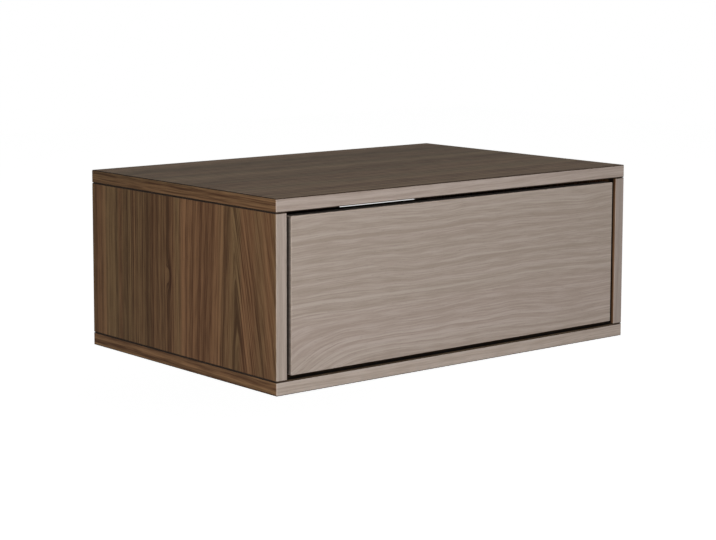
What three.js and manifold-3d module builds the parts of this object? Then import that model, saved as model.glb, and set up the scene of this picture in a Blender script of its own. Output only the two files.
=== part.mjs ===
// Floating nightstand with one handleless drawer. Five boards and a mounting rail make the
// hanging case. The drawer box runs on two telescopic ball-bearing runners and opens with a
// push latch. Sizes are millimetres: X runs to the right seen from the front, the room is at
// -Y, the wall is the plane y = 0 and Z points up.

import * as THREE from "three";
import { RoundedBoxGeometry } from "three/addons/geometries/RoundedBoxGeometry.js";
import { mergeVertices } from "three/addons/utils/BufferGeometryUtils.js";
import Module from "manifold-3d";

// Case boards
const caseWidth = 600;
const caseDepth = 400;
const caseHeight = 236;
const topThickness = 17;
const bottomThickness = 17;
const sideThickness = 16;
const boardArris = 1.1;
const boardSeam = 0.3;

// Clearances and shared cutting values
const fitGap = 0.3;
const cutOverrun = 2;

// Mounting rail and back panel
const railHeight = 64;
const railThickness = 16;
const backThickness = 5;
const backRecess = 1;
const backLap = 8;
const outletWidth = 152;
const outletInset = 9;
const outletHeight = 24;
const outletRadius = 12;

// Hanger plates on the rail
const hangerInset = 84;
const hangerWidth = 62;
const hangerHeight = 28;
const hangerThickness = 2;
const hangerCornerRadius = 4;
const hangerScrewSpacing = 46;
const keyholeEntryRadius = 5.5;
const keyholeSlotRadius = 2.8;
const keyholeRise = 10;
const keyholePocketMargin = 2.5;
const keyholePocketDepth = 8;

// Cam fittings and dowels
const camRadius = 7.3;
const camDepth = 12.2;
const camSetback = 24;
const boltHeadRadius = 3.4;
const boltHeadLength = 3;
const boltNeckRadius = 1.9;
const boltNeckLength = 3.5;
const boltShankRadius = 3;
const boltThreadRadius = 2.4;
const boltThreadLength = 10;
const dowelRadius = 3.9;
const dowelLength = 30;
const dowelTopBite = 11;
const dowelSideBite = 9;
const dowelChamfer = 1;
const frontCamPlace = 52;
const rearCamPlace = 62;
const railFittingSpread = 26;

// Drawer front
const frontThickness = 17;
const frontSideGap = 6.5;
const frontTopGap = 5.5;
const frontBottomGap = 5.5;

// Drawer box
const boxHeight = 118;
const boxRearClearance = 33;
const boxRise = 22;
const boxSideThickness = 12;
const boxEndThickness = 12;
const boxArris = 0.8;
const boxBottomThickness = 4;
const grooveDepth = 6;
const grooveRise = 10;

// Screws with a countersunk head on the hanger plates and a pan head in the drawer
const hangerScrewLength = 13;
const frontScrewLength = 24;
const frontScrewInsetX = 69;
const frontScrewInsetZ = 27;
const screwRadius = 1.9;
const screwHeadRadius = 3.9;
const screwHeadHeight = 2.2;
const screwTip = 3;
const crossLength = 4;
const crossWidth = 0.9;
const crossDepth = 1.4;

// Telescopic runners
const runnerRearSetback = 2;
const runnerHeight = 45;
const runnerSpace = 13;
const runnerFrontSetback = 2;
const runnerRise = 40;
const rolledSteel = 1.2;
const rolledBend = 1.8;
const ballRadius = 1.75;
const ballClearance = 0.2;
const ballOffset = 3.3;
const cageSheet = 0.6;
const cageMargin = 5;
const cageStandoff = 0.3;
const cageTabOverlap = 0.6;
const ballsPerRow = 5;
const lipAngle = 10;
const innerLipAngle = 215;
const runnerScrewHoles = 3;
const runnerScrewHoleRadius = 2.3;
const runnerScrewHoleInset = 35;

// Push latch under the drawer box
const latchLength = 58;
const latchWidth = 22;
const latchHeight = 15;
const latchBaseWidth = 46;
const latchBaseHeight = 3;
const latchArris = 1.5;
const latchBaseRadius = 3;
const latchHoleRadius = 2.2;
const latchHoleInset = 12;
const plungerAxisRise = 10;
const plungerRadius = 3.2;
const plungerTipRadius = 4.2;
const plungerTipLength = 3;
const plungerReach = 7;
const plungerDepth = 40;
const plungerTravel = 3;

// Facet counts
const arrisSegments = 1;
const holeSides = 10;
const turnedSides = 10;
const camSides = 16;
const ballSides = 8;
const ballRings = 4;
const bendSteps = 3;
const raceSteps = 5;
const cornerSteps = 4;

// Levels and places that follow from the sizes above
const innerHalf = caseWidth / 2 - sideThickness;
const topUnderside = caseHeight - topThickness;
const sideTop = topUnderside - boardSeam;
const sideBottom = bottomThickness + boardSeam;
const railTop = topUnderside - boardSeam;
const railBottom = railTop - railHeight;
const railCentre = (railTop + railBottom) / 2;
const railHalfLength = innerHalf - boardSeam;
const backRebateDepth = backRecess + backThickness;
const frontLower = bottomThickness + frontBottomGap;
const frontUpper = topUnderside - frontTopGap;
const frontBack = -caseDepth + frontThickness;
const boxFront = frontBack + boardSeam;
const boxRear = -boxRearClearance;
const boxLower = bottomThickness + boxRise;
const boxHalf = innerHalf - runnerSpace;
const boxInnerHalf = boxHalf - boxSideThickness;
const boxEndHalf = boxInnerHalf - boardSeam;
const runnerFront = frontBack + runnerFrontSetback;
const runnerRear = boxRear + runnerRearSetback;
const runnerLength = runnerRear - runnerFront;
const cageLength = runnerLength / 2 - cageMargin;
const runnerLevel = boxLower + runnerRise;
const latchLower = bottomThickness + fitGap;

const wasm = await Module();
wasm.setup();

// A closed geometry as a solid that can be joined and cut.
function solidOf(geometry) {
  const bare = geometry.index ? geometry.toNonIndexed() : geometry.clone();
  bare.deleteAttribute("normal");
  bare.deleteAttribute("uv");
  const merged = mergeVertices(bare);
  return new wasm.Manifold(
    new wasm.Mesh({
      numProp: 3,
      vertProperties: merged.attributes.position.array,
      triVerts: new Uint32Array(merged.index.array),
    }),
  );
}

// A joined or cut solid back as a geometry with flat faces.
function geometryOf(solid) {
  const mesh = solid.getMesh();
  const indexed = new THREE.BufferGeometry();
  indexed.setAttribute("position", new THREE.BufferAttribute(mesh.vertProperties, 3));
  indexed.setIndex(new THREE.BufferAttribute(mesh.triVerts, 1));
  const flat = indexed.toNonIndexed();
  flat.computeVertexNormals();
  return flat;
}

function cutAway(body, tools) {
  let solid = solidOf(body);
  for (const tool of tools) {
    solid = solid.subtract(solidOf(tool));
  }
  return geometryOf(solid);
}

function joined(geometries) {
  let solid = solidOf(geometries[0]);
  for (const next of geometries.slice(1)) {
    solid = solid.add(solidOf(next));
  }
  return geometryOf(solid);
}

// A box between two corners.
function blockBetween(low, high) {
  const size = high.clone().sub(low);
  const centre = low.clone().add(high).multiplyScalar(0.5);
  return new THREE.BoxGeometry(size.x, size.y, size.z).translate(centre.x, centre.y, centre.z);
}

// A round rod that starts at a point and runs along a unit vector.
function rod(start, along, length, radius, sides) {
  const upright = new THREE.Vector3(0, 1, 0);
  const turn = new THREE.Quaternion().setFromUnitVectors(upright, along);
  const centre = start.clone().addScaledVector(along, length / 2);
  return new THREE.CylinderGeometry(radius, radius, length, sides)
    .applyQuaternion(turn)
    .translate(centre.x, centre.y, centre.z);
}

// A rod sunk into a face: it starts a little outside the face and runs inwards.
function boreTool(mouth, inwards, depth, radius, sides) {
  const start = mouth.clone().addScaledVector(inwards, -cutOverrun);
  return rod(start, inwards, depth + cutOverrun, radius, sides);
}

// A board with eased edges between two corners, cut by tools given in the same frame.
// Its geometry is centred, so that the mesh carries the board's place.
function boardPiece(low, high, arris, tools) {
  const size = high.clone().sub(low);
  const centre = low.clone().add(high).multiplyScalar(0.5);
  const body = new RoundedBoxGeometry(size.x, size.y, size.z, arrisSegments, arris);
  const local = tools.map((tool) => tool.clone().translate(-centre.x, -centre.y, -centre.z));
  return { geometry: cutAway(body, local), centre };
}

function finish(colour, roughness, metalness) {
  return new THREE.MeshStandardMaterial({ color: colour, roughness, metalness });
}

const walnutFront = () => finish(0x9b9188, 0.62, 0);
const walnutDark = () => finish(0x644e3a, 0.6, 0);
const walnutTop = () => finish(0x574d43, 0.5, 0);
const backBoard = () => finish(0x5d4c3e, 0.75, 0);
const drawerBoard = () => finish(0x7a6a5b, 0.65, 0);
const beech = () => finish(0xc9a77c, 0.7, 0);
const zinc = () => finish(0xb4b6b8, 0.35, 1);
const rolled = () => finish(0xa9adb0, 0.32, 1);
const blackPlastic = () => finish(0x2b2b2d, 0.55, 0);
const greyPlastic = () => finish(0x77797c, 0.5, 0);

const nightstand = new THREE.Group();
const placed = new THREE.Group();
placed.position.set(0, 0, -railCentre);
nightstand.add(placed);
const hangingCase = new THREE.Group();
const drawer = new THREE.Group();
placed.add(hangingCase);
placed.add(drawer);

function addPiece(group, name, geometry, centre, material) {
  const mesh = new THREE.Mesh(geometry, material);
  mesh.name = name;
  mesh.position.copy(centre);
  group.add(mesh);
  return mesh;
}

function addBoard(group, name, board, material) {
  return addPiece(group, name, board.geometry, board.centre, material);
}

const point = (x, y, z) => new THREE.Vector3(x, y, z);
const right = point(1, 0, 0);
const back = point(0, 1, 0);
const up = point(0, 0, 1);
const sides = [
  { name: "left", sign: -1 },
  { name: "right", sign: 1 },
];

// Places of the fittings along a corner joint, measured from the wall plane.
const camRows = [
  { name: "front", y: -caseDepth + frontCamPlace },
  { name: "rear", y: -rearCamPlace },
];
const dowelRow = (camRows[0].y + camRows[1].y) / 2;
const levels = [
  { name: "top", end: sideTop, sign: 1, bite: dowelTopBite },
  { name: "bottom", end: sideBottom, sign: -1, bite: dowelTopBite },
];

// Every cam joint: where its cam sits in the face of a board, which way the face looks and
// which way the bolt leaves through the board's end.
function cornerCams(side) {
  const cams = [];
  for (const level of levels) {
    for (const row of camRows) {
      cams.push({
        name: `${side.name}_${row.name}_${level.name}`,
        face: point(side.sign * innerHalf, row.y, level.end - level.sign * camSetback),
        outwards: right.clone().multiplyScalar(-side.sign),
        along: up.clone().multiplyScalar(level.sign),
        thickness: sideThickness,
      });
    }
  }
  return cams;
}

function railCam(side) {
  const along = right.clone().multiplyScalar(side.sign);
  return {
    name: `${side.name}_rail`,
    face: point(
      side.sign * (railHalfLength - camSetback),
      -railThickness,
      railCentre + railFittingSpread / 2,
    ),
    outwards: back.clone().multiplyScalar(-1),
    along,
    thickness: railThickness,
  };
}

// The middle of the board behind a cam, where its bolt runs.
function boltStart(cam) {
  return cam.face.clone().addScaledVector(cam.outwards, -cam.thickness / 2);
}

function camPocket(cam) {
  const inwards = cam.outwards.clone().multiplyScalar(-1);
  return boreTool(cam.face, inwards, camDepth + fitGap, camRadius + fitGap, camSides);
}

function camEndBore(cam) {
  const length = camSetback + cutOverrun;
  return rod(boltStart(cam), cam.along, length, boltHeadRadius + fitGap, holeSides);
}

// The bore that takes the bolt's thread in the neighbouring board.
function boltThreadBore(cam) {
  const mouth = boltStart(cam).addScaledVector(cam.along, camSetback);
  const length = boltThreadLength + boardSeam + fitGap;
  return rod(mouth, cam.along, length, boltThreadRadius + fitGap, holeSides);
}

// Two crossed slots in a head that lies in the plane z = 0 and looks along +Z.
function crossTools(length, width, depth) {
  const halves = [
    [length / 2, width / 2],
    [width / 2, length / 2],
  ];
  return halves.map(([x, y]) => blockBetween(point(-x, -y, -depth), point(x, y, cutOverrun)));
}

// A cam lock looks along its own +Z. Its bolt comes in from +Y, half a board below the face.
function camGeometry(boardThickness) {
  const body = rod(point(0, 0, -camDepth), up, camDepth, camRadius, camSides);
  const hollowStart = point(0, -boltHeadLength - fitGap, -boardThickness / 2);
  const hollowLength = boltHeadLength + fitGap + camRadius + cutOverrun;
  const hollow = rod(hollowStart, back, hollowLength, boltHeadRadius + fitGap, holeSides);
  return cutAway(body, [hollow, ...crossTools(camRadius, crossWidth, crossDepth)]);
}

// A turned bolt along its own +Y: head, neck, shank and thread.
function boltGeometry() {
  const profile = [
    [0, -boltHeadLength],
    [boltHeadRadius, -boltHeadLength],
    [boltHeadRadius, 0],
    [boltNeckRadius, 0],
    [boltNeckRadius, boltNeckLength],
    [boltShankRadius, boltNeckLength],
    [boltShankRadius, camSetback],
    [boltThreadRadius, camSetback],
    [boltThreadRadius, camSetback + boltThreadLength - boltThreadRadius],
    [0, camSetback + boltThreadLength],
  ];
  return new THREE.LatheGeometry(
    profile.map(([x, y]) => new THREE.Vector2(x, y)),
    turnedSides,
  );
}

function turnTo(mesh, along, outwards) {
  const across = along.clone().cross(outwards);
  mesh.setRotationFromMatrix(new THREE.Matrix4().makeBasis(across, along, outwards));
}

function addCamJoint(cam) {
  const lock = camGeometry(cam.thickness);
  turnTo(addPiece(hangingCase, `${cam.name}_cam`, lock, cam.face, zinc()), cam.along, cam.outwards);
  const bolt = boltGeometry();
  turnTo(addPiece(hangingCase, `${cam.name}_bolt`, bolt, boltStart(cam), zinc()), cam.along, cam.outwards);
}

// A dowel along its own +Y with chamfered ends, starting at y = 0.
function dowelGeometry() {
  const profile = [
    [0, 0],
    [dowelRadius - dowelChamfer, 0],
    [dowelRadius, dowelChamfer],
    [dowelRadius, dowelLength - dowelChamfer],
    [dowelRadius - dowelChamfer, dowelLength],
    [0, dowelLength],
  ];
  return new THREE.LatheGeometry(
    profile.map(([x, y]) => new THREE.Vector2(x, y)),
    turnedSides,
  );
}

// Every dowel: where it starts inside its board and which way it points out of it.
function cornerDowels(side) {
  return levels.map((level) => ({
    name: `${side.name}_${level.name}_dowel`,
    start: point(
      side.sign * (innerHalf + sideThickness / 2),
      dowelRow,
      level.end - level.sign * (dowelLength - level.bite),
    ),
    along: up.clone().multiplyScalar(level.sign),
    outwards: right.clone().multiplyScalar(-side.sign),
  }));
}

function railDowel(side) {
  return {
    name: `${side.name}_rail_dowel`,
    start: point(
      side.sign * (railHalfLength - dowelLength + dowelSideBite),
      -railThickness / 2,
      railCentre - railFittingSpread / 2,
    ),
    along: right.clone().multiplyScalar(side.sign),
    outwards: back.clone().multiplyScalar(-1),
  };
}

function dowelBore(dowel) {
  const start = dowel.start.clone().addScaledVector(dowel.along, -fitGap);
  return rod(start, dowel.along, dowelLength + 2 * fitGap, dowelRadius + fitGap, holeSides);
}

function addDowel(dowel) {
  const mesh = addPiece(hangingCase, dowel.name, dowelGeometry(), dowel.start, beech());
  turnTo(mesh, dowel.along, dowel.outwards);
}

const camJoints = sides.flatMap((side) => cornerCams(side));
const railCams = sides.map((side) => railCam(side));
const caseDowels = sides.flatMap((side) => cornerDowels(side));
const railDowels = sides.map((side) => railDowel(side));

// Top and bottom boards run over the ends of the side boards.
function addLevelPanels() {
  const threads = camJoints.map((cam) => boltThreadBore(cam));
  const dowelBores = caseDowels.map((dowel) => dowelBore(dowel));
  const half = caseWidth / 2;
  const lowerTools = [...threads, ...dowelBores];
  const top = boardPiece(
    point(-half, -caseDepth, topUnderside),
    point(half, 0, caseHeight),
    boardArris,
    lowerTools,
  );
  addBoard(hangingCase, "top_panel", top, walnutTop());
  const seatRebate = blockBetween(
    point(-innerHalf - backLap, -backRebateDepth, bottomThickness - backLap),
    point(innerHalf + backLap, cutOverrun, bottomThickness + cutOverrun),
  );
  const bottom = boardPiece(
    point(-half, -caseDepth, 0),
    point(half, 0, bottomThickness),
    boardArris,
    [...lowerTools, seatRebate],
  );
  addBoard(hangingCase, "bottom_panel", bottom, walnutDark());
}

// A side board has cam pockets in its inner face and a stopped rebate for the back panel.
function addSidePanel(side) {
  const cams = cornerCams(side);
  const innerFace = side.sign * innerHalf;
  const rebateEdge = side.sign * (innerHalf + backLap);
  const cutFace = side.sign * (innerHalf - cutOverrun);
  const rebate = blockBetween(
    point(Math.min(rebateEdge, cutFace), -backRebateDepth, sideBottom - cutOverrun),
    point(Math.max(rebateEdge, cutFace), cutOverrun, railBottom + backLap),
  );
  const outerFace = side.sign * (innerHalf + sideThickness);
  const tools = [
    ...cams.map((cam) => camPocket(cam)),
    ...cams.map((cam) => camEndBore(cam)),
    ...cornerDowels(side).map((dowel) => dowelBore(dowel)),
    boltThreadBore(railCam(side)),
    dowelBore(railDowel(side)),
    rebate,
  ];
  const board = boardPiece(
    point(Math.min(innerFace, outerFace), -caseDepth, sideBottom),
    point(Math.max(innerFace, outerFace), 0, sideTop),
    boardArris,
    tools,
  );
  addBoard(hangingCase, `${side.name}_side_panel`, board, walnutDark());
}

// Hanger plates lie flush in the rail's rear face.
const hangers = sides.map((side) => ({
  name: side.name,
  centre: point(side.sign * (innerHalf - hangerInset), 0, railCentre),
}));

// A keyhole outline: a round entry with a narrow slot above it.
function keyholePath(entryRadius, slotRadius, rise) {
  const path = new THREE.Path();
  const shoulder = Math.asin(slotRadius / entryRadius);
  const entryCentre = -rise / 2;
  path.absarc(0, entryCentre, entryRadius, Math.PI / 2 + shoulder, Math.PI / 2 - shoulder, false);
  path.absarc(0, rise / 2, slotRadius, 0, Math.PI, false);
  return path;
}

function roundedRectangle(width, height, radius) {
  const x = width / 2;
  const y = height / 2;
  const shape = new THREE.Shape();
  shape.absarc(x - radius, y - radius, radius, 0, Math.PI / 2, false);
  shape.absarc(-x + radius, y - radius, radius, Math.PI / 2, Math.PI, false);
  shape.absarc(-x + radius, -y + radius, radius, Math.PI, (3 * Math.PI) / 2, false);
  shape.absarc(x - radius, -y + radius, radius, (3 * Math.PI) / 2, 2 * Math.PI, false);
  return shape;
}

// A flat outline in the X-Z plane with depth towards the room: its rear face is at y = 0.
function standingSheet(shape, depth) {
  const geometry = new THREE.ExtrudeGeometry(shape, {
    depth,
    bevelEnabled: false,
    curveSegments: cornerSteps,
  });
  return geometry.rotateX(Math.PI / 2);
}

function hangerScrewPlaces(hanger) {
  return [-1, 1].map((sign) =>
    hanger.centre.clone().add(point((sign * hangerScrewSpacing) / 2, 0, 0)),
  );
}

// The countersink and shank of a screw whose head looks along +Y.
function sunkScrewTool(place, gap) {
  const headRadius = screwHeadRadius + gap;
  const sink = new THREE.CylinderGeometry(
    headRadius,
    screwRadius + gap,
    screwHeadHeight,
    turnedSides,
  );
  sink.translate(place.x, place.y - screwHeadHeight / 2, place.z);
  const mouth = rod(place, back, cutOverrun, headRadius, turnedSides);
  const shankStart = place.clone().addScaledVector(back, -hangerScrewLength - gap);
  const shank = rod(shankStart, back, hangerScrewLength + gap, screwRadius + gap, turnedSides);
  return joined([sink, mouth, shank]);
}

function addHanger(hanger) {
  const outline = roundedRectangle(hangerWidth, hangerHeight, hangerCornerRadius);
  outline.holes.push(keyholePath(keyholeEntryRadius, keyholeSlotRadius, keyholeRise));
  const plate = standingSheet(outline, hangerThickness);
  const screwPlaces = hangerScrewPlaces(hanger);
  const tools = screwPlaces.map((place) => {
    const local = place.clone().sub(hanger.centre);
    return sunkScrewTool(local, fitGap);
  });
  const name = `${hanger.name}_hanger_plate`;
  addPiece(hangingCase, name, cutAway(plate, tools), hanger.centre, zinc());
  screwPlaces.forEach((place, index) => {
    const screw = screwGeometry(hangerScrewLength, true);
    const screwName = `${hanger.name}_hanger_screw_${index + 1}`;
    const mesh = addPiece(hangingCase, screwName, screw, place, zinc());
    turnTo(mesh, right, back);
  });
}

// A screw whose head's face is the plane z = 0 for a countersunk head, or whose head sits on
// that plane for a pan head. It points along its own -Z.
function screwGeometry(length, countersunk) {
  const head = countersunk
    ? [
        [0, 0],
        [screwHeadRadius, 0],
        [screwRadius, -screwHeadHeight],
      ]
    : [
        [0, screwHeadHeight],
        [screwHeadRadius / 2, screwHeadHeight],
        [screwHeadRadius, screwHeadHeight / 2],
        [screwHeadRadius, 0],
        [screwRadius, 0],
      ];
  const profile = [...head, [screwRadius, -length + screwTip], [0, -length]];
  const body = new THREE.LatheGeometry(
    profile.reverse().map(([x, y]) => new THREE.Vector2(x, y)),
    turnedSides,
  ).rotateX(Math.PI / 2);
  const face = countersunk ? 0 : screwHeadHeight;
  const slots = crossTools(crossLength, crossWidth, crossDepth).map((slot) =>
    slot.translate(0, 0, face),
  );
  return cutAway(body, slots);
}

// The rail carries the whole case: hanger plates behind, cam joints at its ends.
function addRail() {
  const tools = [];
  for (const hanger of hangers) {
    const recess = roundedRectangle(
      hangerWidth + 2 * fitGap,
      hangerHeight + 2 * fitGap,
      hangerCornerRadius + fitGap,
    );
    const recessDepth = hangerThickness + fitGap + cutOverrun;
    tools.push(
      standingSheet(recess, recessDepth).translate(hanger.centre.x, cutOverrun, hanger.centre.z),
    );
    const pocket = roundedRectangle(
      2 * (keyholeEntryRadius + keyholePocketMargin),
      keyholeRise + 2 * (keyholeEntryRadius + keyholePocketMargin),
      keyholeEntryRadius,
    );
    tools.push(
      standingSheet(pocket, keyholePocketDepth + cutOverrun).translate(
        hanger.centre.x,
        cutOverrun,
        hanger.centre.z,
      ),
    );
    for (const place of hangerScrewPlaces(hanger)) {
      tools.push(sunkScrewTool(place, fitGap));
    }
  }
  for (const cam of railCams) {
    tools.push(camPocket(cam), camEndBore(cam));
  }
  for (const dowel of railDowels) {
    tools.push(dowelBore(dowel));
  }
  tools.push(
    blockBetween(
      point(-railHalfLength - cutOverrun, -backRebateDepth, railBottom - cutOverrun),
      point(railHalfLength + cutOverrun, cutOverrun, railBottom + backLap),
    ),
  );
  const rail = boardPiece(
    point(-railHalfLength, -railThickness, railBottom),
    point(railHalfLength, 0, railTop),
    boardArris,
    tools,
  );
  addBoard(hangingCase, "mounting_rail", rail, walnutDark());
}

// The back panel lies in a rebate all round. Two notches in its upper edge let cables through.
function backOutline() {
  const half = innerHalf + backLap - fitGap;
  const lower = bottomThickness - backLap + fitGap;
  const upper = railBottom + backLap - fitGap;
  const step = railBottom - outletHeight;
  const outer = innerHalf - outletInset;
  const inner = outer - outletWidth;
  const radius = outletRadius;
  const shape = new THREE.Shape();
  shape.moveTo(-half, lower);
  shape.lineTo(half, lower);
  shape.lineTo(half, upper);
  shape.lineTo(outer, upper);
  shape.absarc(outer - radius, step + radius, radius, 0, -Math.PI / 2, true);
  shape.absarc(inner + radius, step + radius, radius, -Math.PI / 2, -Math.PI, true);
  shape.lineTo(inner, upper);
  shape.lineTo(-inner, upper);
  shape.absarc(-inner - radius, step + radius, radius, 0, -Math.PI / 2, true);
  shape.absarc(-outer + radius, step + radius, radius, -Math.PI / 2, -Math.PI, true);
  shape.lineTo(-outer, upper);
  shape.lineTo(-half, upper);
  return shape;
}

function addBackPanel() {
  const sheet = standingSheet(backOutline(), backThickness);
  addPiece(hangingCase, "back_panel", sheet, point(0, -backRecess, 0), backBoard());
}

// Points of an arc in degrees, both ends included.
function arcPoints(centre, radius, from, to, steps) {
  const points = [];
  for (let i = 0; i <= steps; i += 1) {
    const angle = THREE.MathUtils.degToRad(from + ((to - from) * i) / steps);
    const x = centre.x + radius * Math.cos(angle);
    const y = centre.y + radius * Math.sin(angle);
    points.push(new THREE.Vector2(x, y));
  }
  return points;
}

// A sheet of even thickness along a path, as an outline.
function sheetOutline(path, thickness) {
  const outer = [];
  const inner = [];
  path.forEach((place, i) => {
    const before = path[Math.max(i - 1, 0)];
    const after = path[Math.min(i + 1, path.length - 1)];
    const along = after.clone().sub(before).normalize();
    const across = new THREE.Vector2(-along.y, along.x).multiplyScalar(thickness / 2);
    outer.push(place.clone().add(across));
    inner.push(place.clone().sub(across));
  });
  return [...outer, ...inner.reverse()];
}

// The upper half of a section, given outwards from its web, completed with its mirror image.
function mirroredPath(upperHalf) {
  const lowerHalf = upperHalf.map((place) => new THREE.Vector2(place.x, -place.y));
  return [...lowerHalf.reverse(), ...upperHalf];
}

// The runner's section: x grows from the case side to the drawer side, y is its height.
const raceRadius = ballRadius + ballClearance + rolledSteel / 2;
const cabinetWeb = fitGap + rolledSteel / 2;
const outerCageWeb = cabinetWeb + rolledSteel / 2 + cageStandoff + cageSheet / 2;
const middleWeb = outerCageWeb + cageSheet / 2 + cageStandoff + rolledSteel / 2;
const innerCageWeb = middleWeb + rolledSteel / 2 + 2 * cageStandoff + cageSheet / 2;
const drawerWeb = runnerSpace - fitGap - rolledSteel / 2;
const outerBall = new THREE.Vector2(
  middleWeb + rolledBend + ballClearance,
  runnerHeight / 2 - rolledSteel / 2 - raceRadius,
);
const ballDrop = Math.sqrt((2 * raceRadius) ** 2 - ballOffset ** 2);
const innerBall = new THREE.Vector2(outerBall.x + ballOffset, outerBall.y - ballDrop);
const raceSwap = THREE.MathUtils.radToDeg(Math.atan2(ballDrop, ballOffset));

function bend(x, y, towards) {
  const centre = new THREE.Vector2(x + towards * rolledBend, y - rolledBend);
  const from = towards > 0 ? 180 : 0;
  return arcPoints(centre, rolledBend, from, 90, bendSteps);
}

function cabinetSection() {
  return mirroredPath([
    ...bend(cabinetWeb, outerBall.y + raceRadius, 1),
    ...arcPoints(outerBall, raceRadius, 90, lipAngle, raceSteps),
  ]);
}

function middleSection() {
  return mirroredPath([
    ...bend(middleWeb, outerBall.y - raceRadius, 1),
    ...arcPoints(outerBall, raceRadius, 270, 360 - raceSwap, raceSteps),
    ...arcPoints(innerBall, raceRadius, 180 - raceSwap, lipAngle, raceSteps).slice(1),
  ]);
}

function drawerSection() {
  return mirroredPath([
    ...bend(drawerWeb, innerBall.y - raceRadius, -1),
    ...arcPoints(innerBall, raceRadius, 270, innerLipAngle, raceSteps),
  ]);
}

function cageSection(web, ball) {
  return mirroredPath([
    new THREE.Vector2(web, ball.y - cageSheet),
    ...arcPoints(
      new THREE.Vector2(web + cageSheet, ball.y - cageSheet),
      cageSheet,
      180,
      90,
      bendSteps,
    ).slice(1),
    new THREE.Vector2(ball.x - ballRadius + cageTabOverlap, ball.y),
  ]);
}

// A section run along the drawer's way. The mesh stands at the rear end of the member, on
// the inner face of its side board.
function rolledMember(section, thickness, length, side) {
  const outline = sheetOutline(section, thickness).map(
    (place) => new THREE.Vector2(-side.sign * place.x, place.y),
  );
  return standingSheet(new THREE.Shape(outline), length);
}

// Screw holes along a web, from front to rear.
function webHoles(side, web, length) {
  const tools = [];
  const reach = length - 2 * runnerScrewHoleInset;
  for (let i = 0; i < runnerScrewHoles; i += 1) {
    const y = -length + runnerScrewHoleInset + (reach * i) / (runnerScrewHoles - 1);
    const x = -side.sign * web;
    const start = point(x - rolledSteel, y, 0);
    tools.push(rod(start, right, 2 * rolledSteel, runnerScrewHoleRadius, turnedSides));
  }
  return tools;
}

// A cage holds one row of balls above and one below.
function cageGeometry(side, web, ball) {
  const strip = rolledMember(cageSection(web, ball), cageSheet, cageLength, side);
  const balls = [];
  const pitch = cageLength / ballsPerRow;
  for (let i = 0; i < ballsPerRow; i += 1) {
    for (const row of [-1, 1]) {
      const sphere = new THREE.SphereGeometry(ballRadius, ballSides, ballRings);
      sphere.rotateZ(Math.PI / 2);
      sphere.translate(-side.sign * ball.x, -pitch * (i + 1 / 2), row * ball.y);
      balls.push(sphere);
    }
  }
  return joined([strip, ...balls]);
}

function addRunner(side) {
  const cageRear = runnerFront + (runnerLength + cageLength) / 2;
  const rear = point(side.sign * innerHalf, runnerRear, runnerLevel);
  const cagePlace = point(side.sign * innerHalf, cageRear, runnerLevel);
  const cabinet = cutAway(
    rolledMember(cabinetSection(), rolledSteel, runnerLength, side),
    webHoles(side, cabinetWeb, runnerLength),
  );
  addPiece(hangingCase, `${side.name}_runner_cabinet_member`, cabinet, rear, rolled());
  const middle = rolledMember(middleSection(), rolledSteel, runnerLength, side);
  addPiece(placed, `${side.name}_runner_middle_member`, middle, rear, rolled());
  const moving = cutAway(
    rolledMember(drawerSection(), rolledSteel, runnerLength, side),
    webHoles(side, drawerWeb, runnerLength),
  );
  addPiece(drawer, `${side.name}_runner_drawer_member`, moving, rear, rolled());
  const outerCage = cageGeometry(side, outerCageWeb, outerBall);
  addPiece(placed, `${side.name}_runner_outer_ball_cage`, outerCage, cagePlace, zinc());
  const innerCage = cageGeometry(side, innerCageWeb, innerBall);
  addPiece(placed, `${side.name}_runner_inner_ball_cage`, innerCage, cagePlace, zinc());
}

// Places of the screws that hold the drawer front to the box.
const frontScrewPlaces = [-1, 1].flatMap((across) =>
  [-1, 1].map((high) => ({
    name: `${high > 0 ? "upper" : "lower"}_${across < 0 ? "left" : "right"}_front_screw`,
    place: point(
      across * (boxInnerHalf - frontScrewInsetX),
      boxFront + boxEndThickness + fitGap,
      boxLower + boxHeight / 2 + high * (boxHeight / 2 - frontScrewInsetZ),
    ),
  })),
);

function frontScrewBore(screw) {
  const start = screw.place.clone().addScaledVector(back, -frontScrewLength - fitGap);
  const length = frontScrewLength + 2 * fitGap + cutOverrun;
  return rod(start, back, length, screwRadius + fitGap, turnedSides);
}

function addDrawerFront() {
  const half = innerHalf - frontSideGap;
  const board = boardPiece(
    point(-half, -caseDepth, frontLower),
    point(half, frontBack, frontUpper),
    boardArris,
    frontScrewPlaces.map((screw) => frontScrewBore(screw)),
  );
  addBoard(drawer, "drawer_front", board, walnutFront());
}

// The groove for the drawer bottom, as one block that cuts all four box boards.
function bottomGroove() {
  const halfWidth = boxInnerHalf + grooveDepth;
  const front = boxFront + boxEndThickness - grooveDepth;
  const rear = boxRear - boxEndThickness + grooveDepth;
  const lower = boxLower + grooveRise - fitGap;
  const upper = boxLower + grooveRise + boxBottomThickness + fitGap;
  return blockBetween(point(-halfWidth, front, lower), point(halfWidth, rear, upper));
}

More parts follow.
